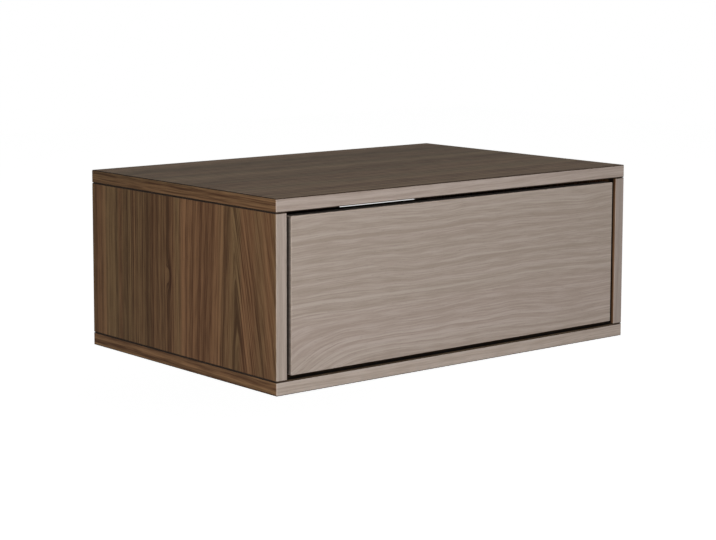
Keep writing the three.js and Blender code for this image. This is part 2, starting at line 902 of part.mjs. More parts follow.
function addDrawerBox() {
  const upper = boxLower + boxHeight;
  for (const side of sides) {
    const inner = side.sign * boxInnerHalf;
    const outer = side.sign * boxHalf;
    const board = boardPiece(
      point(Math.min(inner, outer), boxFront, boxLower),
      point(Math.max(inner, outer), boxRear, upper),
      boxArris,
      [bottomGroove()],
    );
    addBoard(drawer, `drawer_${side.name}_side`, board, drawerBoard());
  }
  const boxFrontBoard = boardPiece(
    point(-boxEndHalf, boxFront, boxLower),
    point(boxEndHalf, boxFront + boxEndThickness, upper),
    boxArris,
    [bottomGroove(), ...frontScrewPlaces.map((screw) => frontScrewBore(screw))],
  );
  addBoard(drawer, "drawer_box_front", boxFrontBoard, drawerBoard());
  const boxBackBoard = boardPiece(
    point(-boxEndHalf, boxRear - boxEndThickness, boxLower),
    point(boxEndHalf, boxRear, upper),
    boxArris,
    [bottomGroove()],
  );
  addBoard(drawer, "drawer_box_back", boxBackBoard, drawerBoard());
  const reach = grooveDepth - fitGap;
  const low = point(
    -boxInnerHalf - reach,
    boxFront + boxEndThickness - reach,
    boxLower + grooveRise,
  );
  const high = point(
    boxInnerHalf + reach,
    boxRear - boxEndThickness + reach,
    boxLower + grooveRise + boxBottomThickness,
  );
  const size = high.clone().sub(low);
  const sheet = new THREE.BoxGeometry(size.x, size.y, size.z);
  const centre = low.clone().add(high).multiplyScalar(0.5);
  addPiece(drawer, "drawer_bottom", sheet, centre, backBoard());
  for (const screw of frontScrewPlaces) {
    const mesh = addPiece(
      drawer,
      screw.name,
      screwGeometry(frontScrewLength, false),
      screw.place,
      zinc(),
    );
    turnTo(mesh, right, back);
  }
}

// The latch housing stands on the bottom board. Its origin is the centre of its front face
// at the foot, and it runs towards the wall.
function addPushLatch() {
  const place = point(0, frontBack + fitGap + plungerReach, latchLower);
  const body = new RoundedBoxGeometry(latchWidth, latchLength, latchHeight, arrisSegments, latchArris);
  body.translate(0, latchLength / 2, latchHeight / 2);
  const footOutline = roundedRectangle(latchBaseWidth, latchLength, latchBaseRadius);
  const foot = new THREE.ExtrudeGeometry(footOutline, {
    depth: latchBaseHeight,
    bevelEnabled: false,
    curveSegments: cornerSteps,
  }).translate(0, latchLength / 2, 0);
  const tools = [
    boreTool(
      point(0, 0, plungerAxisRise),
      back,
      plungerDepth + plungerTravel + fitGap,
      plungerRadius + fitGap,
      holeSides,
    ),
  ];
  for (const across of [-1, 1]) {
    for (const y of [latchHoleInset, latchLength - latchHoleInset]) {
      const x = (across * (latchWidth + latchBaseWidth)) / 4;
      const start = point(x, y, -cutOverrun);
      const length = latchBaseHeight + 2 * cutOverrun;
      tools.push(rod(start, up, length, latchHoleRadius, turnedSides));
    }
  }
  const housing = cutAway(joined([body, foot]), tools);
  addPiece(hangingCase, "push_latch_housing", housing, place, blackPlastic());
  const profile = [
    [0, -plungerReach],
    [plungerTipRadius - plungerTipLength / 3, -plungerReach],
    [plungerTipRadius, -plungerReach + plungerTipLength / 3],
    [plungerTipRadius, -plungerReach + plungerTipLength],
    [plungerRadius, -plungerReach + plungerTipLength],
    [plungerRadius, plungerDepth],
    [0, plungerDepth],
  ];
  const plunger = new THREE.LatheGeometry(
    profile.map(([x, y]) => new THREE.Vector2(x, y)),
    camSides,
  );
  const plungerPlace = place.clone().add(point(0, 0, plungerAxisRise));
  addPiece(placed, "push_latch_plunger", plunger, plungerPlace, greyPlastic());
}

addLevelPanels();
sides.forEach((side) => addSidePanel(side));
addRail();
addBackPanel();
[...camJoints, ...railCams].forEach((cam) => addCamJoint(cam));
[...caseDowels, ...railDowels].forEach((dowel) => addDowel(dowel));
hangers.forEach((hanger) => addHanger(hanger));
sides.forEach((side) => addRunner(side));
addPushLatch();
addDrawerFront();
addDrawerBox();

export default nightstand;
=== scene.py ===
import math

import bmesh
import bpy
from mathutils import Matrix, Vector


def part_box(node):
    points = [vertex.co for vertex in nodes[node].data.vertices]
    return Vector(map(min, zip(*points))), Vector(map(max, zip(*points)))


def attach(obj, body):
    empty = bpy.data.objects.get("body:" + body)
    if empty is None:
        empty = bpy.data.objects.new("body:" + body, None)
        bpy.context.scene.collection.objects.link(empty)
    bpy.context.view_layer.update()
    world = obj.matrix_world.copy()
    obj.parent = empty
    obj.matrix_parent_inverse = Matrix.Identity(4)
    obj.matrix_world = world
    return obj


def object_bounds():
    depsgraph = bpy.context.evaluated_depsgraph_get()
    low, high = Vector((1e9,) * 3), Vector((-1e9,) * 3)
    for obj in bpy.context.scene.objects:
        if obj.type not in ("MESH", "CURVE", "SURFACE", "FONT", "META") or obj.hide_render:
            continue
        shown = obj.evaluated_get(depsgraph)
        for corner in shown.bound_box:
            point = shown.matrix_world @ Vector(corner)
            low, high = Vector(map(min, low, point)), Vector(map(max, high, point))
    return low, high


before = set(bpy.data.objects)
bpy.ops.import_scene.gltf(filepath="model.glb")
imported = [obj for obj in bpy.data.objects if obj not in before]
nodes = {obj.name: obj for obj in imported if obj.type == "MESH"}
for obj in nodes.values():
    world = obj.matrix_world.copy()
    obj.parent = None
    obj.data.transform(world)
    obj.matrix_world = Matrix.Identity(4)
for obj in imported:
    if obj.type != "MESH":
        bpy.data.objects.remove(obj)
cad_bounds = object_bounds()

# Lengths are metres. X runs to the right seen from the front, the wall is the plane y = 0.
millimetre = 0.001
case_front = cad_bounds[0][1]


# Camera, placed from the centre of the wall face. Its lens and sensor are given in millimetres.

camera_place = Vector((-1.6595, -2.1551, 0.3263))
camera_azimuth = math.radians(38.758)
camera_pitch = math.radians(6.672)
camera_lens = 96.317
camera_sensor = 36
camera_shift_x = 0.0682
camera_shift_y = -0.12
camera_reach = 50


def add_camera():
    data = bpy.data.cameras.new("camera")
    data.lens = camera_lens
    data.sensor_width = camera_sensor
    data.shift_x = camera_shift_x
    data.shift_y = camera_shift_y
    data.clip_end = camera_reach
    camera = bpy.data.objects.new("camera", data)
    camera.location = camera_place
    camera.rotation_euler = (math.pi / 2 - camera_pitch, 0, -camera_azimuth)
    bpy.context.scene.collection.objects.link(camera)
    bpy.context.scene.camera = camera


# Short calls for nodes

# The sockets that the mixing node has for each kind of value
mix_sockets = {
    "FLOAT": {"first": 2, "second": 3, "result": 0},
    "VECTOR": {"first": 4, "second": 5, "result": 1},
    "RGBA": {"first": 6, "second": 7, "result": 2},
}

# The curve between the brightness on a screen and linear light
screen_white = 255
screen_knee = 0.04045
screen_slope = 12.92
screen_offset = 0.055
screen_power = 2.4


class Nodes:
    """The nodes of one tree, which starts empty."""

    def __init__(self, tree):
        self.tree = tree
        tree.nodes.clear()

    def add(self, kind):
        return self.tree.nodes.new(f"ShaderNode{kind}")

    def feed(self, socket, value):
        """The value is the output of another node, or a number or colour for the socket itself."""
        if isinstance(value, bpy.types.NodeSocket):
            self.tree.links.new(value, socket)
        else:
            socket.default_value = value

    def math(self, operation, first, second=0.0, third=0.0):
        node = self.add("Math")
        node.operation = operation
        for socket, value in zip(node.inputs, (first, second, third)):
            self.feed(socket, value)
        return node.outputs["Value"]

    def mix(self, factor, first, second, kind="FLOAT", way="MIX"):
        """The first value where the factor is 0, the second where it is 1."""
        sockets = mix_sockets[kind]
        node = self.add("Mix")
        node.data_type = kind
        node.blend_type = way
        self.feed(node.inputs["Factor"], factor)
        self.feed(node.inputs[sockets["first"]], first)
        self.feed(node.inputs[sockets["second"]], second)
        return node.outputs[sockets["result"]]

    def blend(self, factor, first, second, way="MIX"):
        """Two colours mixed or multiplied."""
        return self.mix(factor, first, second, "RGBA", way)

    def spread(self, value, low, high, to_low=0.0, to_high=1.0):
        """A smooth step from one value to another between a low and a high limit."""
        node = self.add("MapRange")
        node.interpolation_type = "SMOOTHSTEP"
        self.feed(node.inputs["Value"], value)
        node.inputs["From Min"].default_value = low
        node.inputs["From Max"].default_value = high
        node.inputs["To Min"].default_value = to_low
        node.inputs["To Max"].default_value = to_high
        return node.outputs["Result"]

    def within(self, value, rise, fall):
        """1 between the rise and the fall, 0 outside them."""
        return self.math("MULTIPLY", self.spread(value, *rise), self.spread(value, *fall))

    def parts(self, vector):
        node = self.add("SeparateXYZ")
        self.feed(node.inputs["Vector"], vector)
        return node.outputs["X"], node.outputs["Y"], node.outputs["Z"]

    def vector(self, x, y, z):
        node = self.add("CombineXYZ")
        for socket, value in zip(node.inputs, (x, y, z)):
            self.feed(socket, value)
        return node.outputs["Vector"]

    def noise(self, vector, detail=2.0, roughness=0.5):
        node = self.add("TexNoise")
        node.inputs["Scale"].default_value = 1.0
        node.inputs["Detail"].default_value = detail
        node.inputs["Roughness"].default_value = roughness
        self.feed(node.inputs["Vector"], vector)
        return node.outputs["Fac"]

    def spots(self, places, sizes, detail=2.0, roughness=0.5):
        """A noise whose spots have the given sizes along the three places."""
        counts = [self.math("DIVIDE", place, size) for place, size in zip(places, sizes)]
        return self.noise(self.vector(*counts), detail, roughness)


class Shade(Nodes):
    """The nodes of one material round its main shader."""

    def __init__(self, name):
        self.material = bpy.data.materials.new(name)
        self.material.use_nodes = True
        super().__init__(self.material.node_tree)
        self.shader = self.add("BsdfPrincipled")
        output = self.add("OutputMaterial")
        self.feed(output.inputs["Surface"], self.shader.outputs["BSDF"])
        self.place = self.add("TexCoord")

    def show(self, name, value):
        self.feed(self.shader.inputs[name], value)

    def bump(self, height, strength, distance):
        node = self.add("Bump")
        node.inputs["Strength"].default_value = strength
        node.inputs["Distance"].default_value = distance
        self.feed(node.inputs["Height"], height)
        self.show("Normal", node.outputs["Normal"])


def shade_of(colour):
    """A colour written as it looks on a screen, from 0 to 255, as linear light."""
    channels = []
    for value in colour:
        share = value / screen_white
        if share <= screen_knee:
            channels.append(share / screen_slope)
        else:
            channels.append(((share + screen_offset) / (1 + screen_offset)) ** screen_power)
    return (*channels, 1.0)


# Surround, lights and ground

world_for_camera = 1.0
world_for_gloss = 0.25
world_for_light = 0.22

# Angles are degrees and powers are watts
lights = {
    "front_light": {"azimuth": -30, "elevation": 15, "distance": 2.3, "size": 1.2, "power": 30.5},
    "right_light": {"azimuth": 30, "elevation": 4, "distance": 3.2, "size": 1.4, "power": 19.5},
    "left_light": {"azimuth": -42, "elevation": 16, "distance": 2.2, "size": 1.0, "power": 9.5},
    "top_light": {"azimuth": -10, "elevation": 72, "distance": 3.0, "size": 1.6, "power": 20},
}

floor_level = -0.62
floor_size = 14.0
floor_colour = (0.6, 0.6, 0.6, 1)

# How bright the floor glows near the part and far from it, and where that changes
near_lift = 0.79
far_lift = 0.86
near_reach = 1.2
far_reach = 3.0


def add_world():
    """White for the camera, and dimmer in glossy faces and as light."""
    world = bpy.data.worlds.new("studio")
    bpy.context.scene.world = world
    world.use_nodes = True
    sky = Nodes(world.node_tree)
    path = sky.add("LightPath")
    unseen = sky.mix(path.outputs["Is Glossy Ray"], world_for_light, world_for_gloss)
    strength = sky.mix(path.outputs["Is Camera Ray"], unseen, world_for_camera)
    background = sky.add("Background")
    background.inputs["Color"].default_value = (1, 1, 1, 1)
    sky.feed(background.inputs["Strength"], strength)
    output = sky.add("OutputWorld")
    sky.feed(output.inputs["Surface"], background.outputs["Background"])


def add_light(name, azimuth, elevation, distance, size, power):
    """Azimuth 0 is straight in front of the drawer, positive to its right."""
    data = bpy.data.lights.new(name, "AREA")
    data.shape = "DISK"
    data.size = size
    data.energy = power
    lamp = bpy.data.objects.new(name, data)
    turn = math.radians(azimuth)
    rise = math.radians(elevation)
    out = Vector((math.sin(turn) * math.cos(rise), -math.cos(turn) * math.cos(rise), math.sin(rise)))
    target = (Vector(cad_bounds[0]) + Vector(cad_bounds[1])) / 2
    lamp.location = target + out * distance
    lamp.rotation_euler = (-out).to_track_quat("-Z", "Y").to_euler()
    bpy.context.scene.collection.objects.link(lamp)


def floor_material():
    """Grey, with a glow for the camera alone that lifts it to white further out."""
    material = bpy.data.materials.new("floor")
    material.use_nodes = True
    ground = Nodes(material.node_tree)
    diffuse = ground.add("BsdfDiffuse")
    diffuse.inputs["Color"].default_value = floor_colour
    path = ground.add("LightPath")
    place = ground.add("TexCoord")
    reach = ground.add("VectorMath")
    reach.operation = "LENGTH"
    ground.feed(reach.inputs[0], place.outputs["Object"])
    lift = ground.spread(reach.outputs["Value"], near_reach, far_reach, near_lift, far_lift)
    lift = ground.math("MULTIPLY", lift, path.outputs["Is Camera Ray"])
    glow = ground.add("Emission")
    ground.feed(glow.inputs["Strength"], lift)
    total = ground.add("AddShader")
    ground.feed(total.inputs[0], diffuse.outputs["BSDF"])
    ground.feed(total.inputs[1], glow.outputs["Emission"])
    output = ground.add("OutputMaterial")
    ground.feed(output.inputs["Surface"], total.outputs["Shader"])
    return material


def add_floor():
    half = floor_size / 2
    mesh = bpy.data.meshes.new("floor")
    corners = [(-half, -half, 0), (half, -half, 0), (half, half, 0), (-half, half, 0)]
    mesh.from_pydata(corners, [], [(0, 1, 2, 3)])
    mesh.materials.append(floor_material())
    floor = bpy.data.objects.new("floor", mesh)
    floor.location = (0, 0, floor_level)
    bpy.context.scene.collection.objects.link(floor)


# Walnut decor: colours. Each pair is a red-brown and an olive-brown streak of one kind of face.
# The kinds of face are lit and shaded copies of one decor: the pale greyish front tints are painted
# frontal light and sheen, and the darker side and top tints are painted shade.

side_tints = ((109, 76, 49), (102, 77, 49))
top_tints = ((101, 80, 60), (96, 79, 58))
front_tints = ((139, 126, 117), (137, 125, 115))
box_tints = ((110, 85, 64), (103, 84, 64))
# Painted shade for the sloping arrises along the level edges
arris_shade_colour = (50, 37, 27)
pore_colour = (40, 29, 21)
# Contrast of the figure on each kind of face. The weak contrast on the front is a painted sheen that washes
# the figure out.
side_contrast = 1.3
top_contrast = 1.45
front_contrast = 0.35
tone_gains = (0.85, 1.0, 1.15)

# Walnut decor: which faces look up, into the room or into the case, lie on an arris with a painted
# highlight or on a sloping arris with painted shade. A face that looks straight that way counts as 1,
# one that stands square to it as 0. Each pair is a step between two such values, and a single value is a
# limit.
up_facing = (0.75, 0.95)
room_facing = (0.2, 0.6)
rear_facing = -0.5
end_facing = 0.8
inside_facing = (0.95, 0.99)
arris_highlight_rise = (0.2, 0.35)
arris_highlight_fall = (0.99, 0.95)
arris_highlight_gain = 1.2
arris_shade_rise = (0.1, 0.3)
arris_shade_fall = (0.99, 0.96)

# The narrow gap round the drawer front, painted shade with painted light at its mouth: how bright its faces
# are at the mouth, behind it and in the case
mouth_share = 1.35
case_gap_share = 0.02
drawer_gap_share = 0.18
room_share = 0.85
gap_fade = 6 * millimetre
room_start = 9 * millimetre
room_reach = 22 * millimetre

# Walnut decor: surface
board_gloss = 0.3
board_roughness = 0.48
line_roughness = 0.1
pore_roughness = 0.1
arris_shade_roughness = 0.5
line_height = 0.3
pore_height = -0.7
board_relief = 0.2
board_relief_depth = 0.1 * millimetre

# Walnut decor: lengths and widths of its lines, and between which noise values each of them turns pale
middle = 0.5
hue_length = 3.0
hue_width = 0.04
hue_range = (0.38, 0.62)
band_length = 2.6
band_width = 0.03
band_range = (0.34, 0.66)
stripe_length = 2.0
stripe_width = 0.0045
stripe_range = (0.32, 0.68)
patch_width = 0.045
patch_range = (0.42, 0.58)
patch_least = 0.3
line_length = 0.9
line_width = 0.0022
line_range = (0.3, 0.7)
fibre_length = 0.04
fibre_width = 0.0016
fibre_range = (0.3, 0.7)
pore_length = 0.009
pore_width = 0.0004
pore_range = (0.62, 0.74)
pore_share = 0.2
tone_range = (0.2, 0.8)
ring_turn = 0.75
beside_share = 0.1

# The part that each kind of line has in the figure of an upright board and of a level one
upright_shares = {"bands": 0.19, "rings": 0.12, "stripes": 0.19, "lines": 0.32, "fibres": 0.18}
wide_shares = {"bands": 0.14, "rings": 0.2, "stripes": 0.18, "lines": 0.24, "fibres": 0.24}

# The heart line of a board: where it lies and how it leans. From the start onwards the rings taper
# towards it. The fade gives two distances from it, between which the taper falls to its last share.
ring_pitch = 0.012
arch_tip = 0.002
rise_blend = 0.01
plain_rings = {"heart": 0.15, "lean": 0.0, "start": -0.3, "taper": 0.02, "fade": (0.05, 0.15, 1.0)}
arched_rings = {"heart": -0.615, "lean": 0.07, "start": -0.28, "taper": 0.12, "fade": (0.05, 0.15, 0.6)}
fanned_rings = {"heart": -0.6, "lean": 0.0, "start": -0.19, "taper": -0.36, "fade": (0.03, 0.12, 0.0)}

# The small knot of the left side: its place across and along the grain, and how it bends the lines
knot_place = (-0.479, -0.07)
knot_length = 0.016
knot_width = 0.005
knot_push = 0.008
knot_depth = 0.3

# How far the lines of a board swing to and fro, and over what length
calm_swing = {"length": 0.3, "width": 0.12, "reach": 0.006}
wave_swing = {"length": 0.16, "width": 0.07, "reach": 0.009}
ripple_swing = {"length": 0.04, "width": 0.03, "reach": 0.001}

# How far one seed moves the decor along the grain and across it, and what each noise adds to the seed
seed_steps = (5.3, 3.1, 1.7)
swing_seed = 0.1
hue_seed = 0.2
patch_seed = 0.4


def grain_places(shade, grain, nx):
    """The place along the grain and the two places across it, for each face of the board."""
    x, y, z = shade.parts(shade.place.outputs["Object"])
    if grain == "upright":
        return z, y, x
    if grain == "deep":
        return y, x, z
    end_face = shade.math("GREATER_THAN", shade.math("ABSOLUTE", nx), end_facing)
    return shade.parts(shade.mix(end_face, shade.vector(x, y, z), shade.vector(y, x, z), "VECTOR"))


def streaks(shade, places, seed, length, width, detail=2.0, roughness=0.5):
    """A noise with spots of one length along the grain and one width across it, moved by the seed."""
    sizes = (length, width, width)
    counts = [
        shade.math("MULTIPLY_ADD", place, 1 / size, step * seed)
        for place, size, step in zip(places, sizes, seed_steps)
    ]
    return shade.noise(shade.vector(*counts), detail, roughness)


def gap_to(shade, value, target):
    return shade.math("ADD", value, -target)


def swung(shade, places, seed, swing):
    """The places with the lines of the grain bent sideways by a slow noise."""
    along, across, deep = places
    sway = streaks(shade, places, seed, swing["length"], swing["width"], detail=1.0)
    sway = shade.math("MULTIPLY", gap_to(shade, sway, middle), swing["reach"])
    return along, shade.math("ADD", across, sway), shade.math("ADD", deep, sway)


def grain_reach(shade, places, rings, bend):
    """How far each place lies from the heart line, so that equal reaches form long nested arches.

    The bend is 1 where the rings may lean and taper, and 0 where the lines run straight."""
    along, across, deep = places
    side = gap_to(shade, shade.math("ADD", across, deep), rings["heart"])
    along = shade.math("MULTIPLY", along, bend)
    side = shade.math("MULTIPLY_ADD", along, -rings["lean"], side)
    side = shade.math("SQRT", shade.math("MULTIPLY_ADD", side, side, arch_tip * arch_tip))
    rise = shade.math("MULTIPLY", gap_to(shade, along, rings["start"]), rings["taper"])
    rise = shade.math("SMOOTH_MAX", rise, 0.0, rise_blend)
    near, far, far_share = rings["fade"]
    return shade.math("MULTIPLY_ADD", rise, shade.spread(side, near, far, 1.0, far_share), side)


def knot_bulge(shade, places, knot):
    """From 0 away from the knot to 1 at its centre."""
    along, across, deep = places
    side = shade.math("DIVIDE", gap_to(shade, shade.math("ADD", across, deep), knot[0]), knot_width)
    rise = shade.math("DIVIDE", gap_to(shade, along, knot[1]), knot_length)
    square = shade.math("MULTIPLY_ADD", side, side, shade.math("MULTIPLY", rise, rise))
    return shade.math("EXPONENT", shade.math("MULTIPLY", square, -1.0))


def ring_tone(shade, reach):
    """Dark where a growth ring ends, then slowly paler up to the next one."""
    share = shade.math("FRACT", shade.math("DIVIDE", reach, ring_pitch))
    return shade.math("SUBTRACT", shade.spread(share, 0.0, ring_turn), shade.spread(share, ring_turn, 1.0))


def patched(shade, value, patch):
    """The value drawn towards the middle where the patch is weak."""
    return shade.math("MULTIPLY_ADD", gap_to(shade, value, middle), patch, middle)


def figure_tone(shade, places, reach, seed, shares):
    """From 0 in the darkest line of the figure to 1 in the palest, and the noise of the fine lines."""
    along, across, deep = places
    beside = shade.math("MULTIPLY", shade.math("ADD", across, deep), beside_share)
    places = (along, reach, beside)
    bands = streaks(shade, places, seed, band_length, band_width)
    stripes = streaks(shade, places, seed, stripe_length, stripe_width, roughness=0.6)
    patch = streaks(shade, places, seed + patch_seed, band_length, patch_width, detail=1.0)
    patch = shade.spread(patch, *patch_range, patch_least, 1.0)
    lines = streaks(shade, places, seed, line_length, line_width)
    fibres = streaks(shade, places, seed, fibre_length, fibre_width, detail=1.0)
    kinds = {
        "bands": shade.spread(bands, *band_range),
        "rings": ring_tone(shade, reach),
        "stripes": patched(shade, shade.spread(stripes, *stripe_range), patch),
        "lines": patched(shade, shade.spread(lines, *line_range), patch),
        "fibres": shade.spread(fibres, *fibre_range),
    }
    tone = 0.0
    for kind, value in kinds.items():
        tone = shade.math("MULTIPLY_ADD", value, shares[kind], tone)
    return shade.spread(tone, *tone_range), lines


def board_figure(shade, places, seed, rings, knot, upright, faces_room):
    """The figure of one board, with a darker knot that pushes the lines aside where there is one."""
    bend = shade.math("SUBTRACT", 1.0, faces_room) if upright else 1.0
    shares = upright_shares if upright else wide_shares
    reach = grain_reach(shade, places, rings, bend)
    if not knot:
        return figure_tone(shade, places, reach, seed, shares)
    bulge = knot_bulge(shade, places, knot)
    reach = shade.math("MULTIPLY_ADD", bulge, knot_push, reach)
    tone, lines = figure_tone(shade, places, reach, seed, shares)
    return shade.math("MULTIPLY_ADD", bulge, -knot_depth, tone), lines


def face_tint(shade, hue, faces_up, faces_room, boxed):
    """The streaks of the face that is seen, or those of the drawer box. The face tints are painted light and
    shade: pale towards the room, darker on the sides and on top.
    """
    if boxed:
        return shade.blend(hue, *(shade_of(tint) for tint in box_tints))
    tints = []
    for side_tint, top_tint, front_tint in zip(side_tints, top_tints, front_tints):
        tint = shade.blend(faces_up, shade_of(side_tint), shade_of(top_tint))
        tints.append(shade.blend(faces_room, tint, shade_of(front_tint)))
    return shade.blend(hue, *tints)


def dimmed(shade, colour, share):
    return shade.blend(1.0, colour, shade.vector(share, share, share), "MULTIPLY")


def figured(shade, tint, tone, faces_up, faces_room):
    """The tint with the figure on it, strongest on top and weakest on the faces towards the room, where a
    painted sheen washes it out.
    """
    contrast = shade.math("MULTIPLY_ADD", faces_room, front_contrast - side_contrast, side_contrast)
    contrast = shade.math("MULTIPLY_ADD", faces_up, top_contrast - side_contrast, contrast)
    lift = shade.math("MULTIPLY", gap_to(shade, tone, middle), contrast)
    lifts = [shade.math("MULTIPLY_ADD", lift, gain, 1.0) for gain in tone_gains]
    return shade.blend(1.0, tint, shade.vector(*lifts), "MULTIPLY")


def gap_shadow(shade, colour, facing, share):
    """Darker behind the front edges, on the faces that look the given way.

    There the narrow gap round the drawer front shuts the light out."""
    y = shade.parts(shade.place.outputs["Object"])[1]
    narrow = shade.spread(y, case_front, case_front + gap_fade, mouth_share, share)
    roomy = shade.spread(y, case_front + room_start, case_front + room_reach, 0.0, room_share - share)
    shaded = dimmed(shade, colour, shade.math("ADD", narrow, roomy))
    return shade.blend(shade.spread(facing, *inside_facing), colour, shaded)


def walnut(name, grain, seed, rings=plain_rings, swings=(calm_swing,), knot=None, inside=None,
           drawer_edges=False, boxed=False, face_gain=1.0):
    """The decor of one board, with its lines along the grain.
    Its colour holds painted light and shade: paler faces towards the room, painted shade in the gaps
    round the drawer front and on sloping arrises, and a painted highlight on arrises towards the room.

    The inside is the direction in which the board faces the dark room of the case. The face gain
    makes the whole board paler or darker."""
    shade = Shade(name)
    nx, ny, nz = shade.parts(shade.place.outputs["Normal"])
    level = shade.math("ABSOLUTE", nz)
    outward = shade.math("MULTIPLY", ny, -1.0)
    faces_up = shade.spread(level, *up_facing)
    if drawer_edges:
        faces_room = shade.math("GREATER_THAN", outward, rear_facing)
    else:
        faces_room = shade.spread(outward, *room_facing)

    places = grain_places(shade, grain, nx)
    for number, swing in enumerate(swings, 1):
        places = swung(shade, places, seed + swing_seed * number, swing)
    tone, lines = board_figure(shade, places, seed, rings, knot, grain == "upright", faces_room)
    hue = streaks(shade, places, seed + hue_seed, hue_length, hue_width, detail=3.0, roughness=0.6)
    tint = face_tint(shade, shade.spread(hue, *hue_range), faces_up, faces_room, boxed)
    colour = figured(shade, tint, tone, faces_up, faces_room)

    if inside:
        sign, axis = inside
        facing = shade.math("MULTIPLY", {"x": nx, "z": nz}[axis], 1.0 if sign == "+" else -1.0)
        colour = gap_shadow(shade, colour, facing, case_gap_share)
    if drawer_edges:
        edges = shade.math("MAXIMUM", shade.math("ABSOLUTE", nx), level)
        colour = gap_shadow(shade, colour, edges, drawer_gap_share)
    # Painted highlight: paler on the arrises that turn partly towards the room. The face gain then makes the
    # whole board paler or darker.
    arris_highlight = shade.within(outward, arris_highlight_rise, arris_highlight_fall)
    colour = dimmed(shade, colour, shade.math("MULTIPLY_ADD", arris_highlight, arris_highlight_gain - 1.0, face_gain))
    pores = streaks(shade, places, seed, pore_length, pore_width, detail=1.0)
    pores = shade.spread(pores, *pore_range)
    colour = shade.blend(shade.math("MULTIPLY", pores, pore_share), colour, shade_of(pore_colour))
    roughness = shade.math("MULTIPLY_ADD", lines, line_roughness, board_roughness)
    roughness = shade.math("MULTIPLY_ADD", pores, pore_roughness, roughness)
    # Painted shade: dark on the sloping arrises along the level edges, darkest in the grooves where boards
    # meet.
    if not drawer_edges:
        arris_shade = shade.within(level, arris_shade_rise, arris_shade_fall)
        colour = shade.blend(arris_shade, colour, shade_of(arris_shade_colour))
        roughness = shade.math("MULTIPLY_ADD", arris_shade, arris_shade_roughness, roughness)

    shade.show("Base Color", colour)
    shade.show("Roughness", roughness)
    shade.show("Specular IOR Level", board_gloss)
    height = shade.math("MULTIPLY_ADD", pores, pore_height, shade.math("MULTIPLY", lines, line_height))
    shade.bump(height, board_relief, board_relief_depth)
    return shade.material


# Steel, plastic and plain wood

zinc_look = {"colour": (214, 213, 210), "roughness": 0.36}
runner_look = {"colour": (206, 206, 204), "roughness": 0.34}
cage_look = {"colour": (196, 196, 195), "roughness": 0.36}
brush_size = (0.4 * millimetre, 20 * millimetre, 0.4 * millimetre)
cloud_size = (12 * millimetre, 30 * millimetre, 12 * millimetre)
cloud_range = (0.35, 0.7)
dull_share = 0.9
brush_roughness = 0.2
brush_relief = 0.08
brush_depth = 0.05 * millimetre

black_look = {"colour": (38, 38, 40), "roughness": 0.42}
grey_look = {"colour": (120, 122, 125), "roughness": 0.38}
pebble_size = (0.6 * millimetre, 0.6 * millimetre, 0.6 * millimetre)
pebble_gain = 1.25
pebble_roughness = 0.15
pebble_relief = 0.3
pebble_depth = 0.04 * millimetre

beech_look = {"dark": (176, 142, 104), "pale": (206, 174, 134), "offset": 0.1}
back_panel_look = {"dark": (70, 55, 43), "pale": (92, 74, 58), "offset": 0.3}
drawer_bottom_look = {"dark": (78, 62, 49), "pale": (100, 82, 66), "offset": 0.7}
short_fibre_size = (30 * millimetre, 1.2 * millimetre, 1.2 * millimetre)
mottle_size = (80 * millimetre, 50 * millimetre, 50 * millimetre)
short_fibre_share = 0.6
plain_range = (0.3, 0.7)
plain_roughness = 0.55
short_fibre_roughness = 0.15
short_fibre_relief = 0.2
short_fibre_depth = 0.08 * millimetre


def plated_steel(name, colour, roughness):
    """Steel with fine brush marks along the depth and faint dull clouds."""
    shade = Shade(name)
    places = shade.parts(shade.place.outputs["Object"])
    brushed = shade.spots(places, brush_size)
    clouds = shade.spread(shade.spots(places, cloud_size), *cloud_range)
    dull = tuple(dull_share * value for value in colour)
    shade.show("Base Color", shade.blend(clouds, shade_of(colour), shade_of(dull)))
    shade.show("Metallic", 1.0)
    shade.show("Roughness", shade.math("MULTIPLY_ADD", brushed, brush_roughness, roughness))
    shade.bump(brushed, brush_relief, brush_depth)
    return shade.material


def moulded_plastic(name, colour, roughness):
    """Plastic with the fine pebbled skin of its mould."""
    shade = Shade(name)
    places = shade.parts(shade.place.outputs["Object"])
    pebble = shade.spots(places, pebble_size, roughness=0.6)
    pale = tuple(pebble_gain * value for value in colour)
    shade.show("Base Color", shade.blend(pebble, shade_of(colour), shade_of(pale)))
    shade.show("Roughness", shade.math("MULTIPLY_ADD", pebble, pebble_roughness, roughness))
    shade.bump(pebble, pebble_relief, pebble_depth)
    return shade.material


def plain_wood(name, dark, pale, offset):
    """Thin fibreboard or a beech dowel: fine short fibres and little figure."""
    shade = Shade(name)
    x, y, z = shade.parts(shade.place.outputs["Object"])
    places = (shade.math("ADD", x, offset), y, z)
    fibres = shade.spots(places, short_fibre_size, detail=3.0, roughness=0.6)
    mottle = shade.math("MULTIPLY", shade.spots(places, mottle_size), 1.0 - short_fibre_share)
    tone = shade.spread(shade.math("MULTIPLY_ADD", fibres, short_fibre_share, mottle), *plain_range)
    shade.show("Base Color", shade.blend(tone, shade_of(dark), shade_of(pale)))
    shade.show("Roughness", shade.math("MULTIPLY_ADD", fibres, short_fibre_roughness, plain_roughness))
    shade.bump(fibres, short_fibre_relief, short_fibre_depth)
    return shade.material


def dress(node_name, material):
    mesh = nodes[node_name].data
    mesh.materials.clear()
    mesh.materials.append(material)


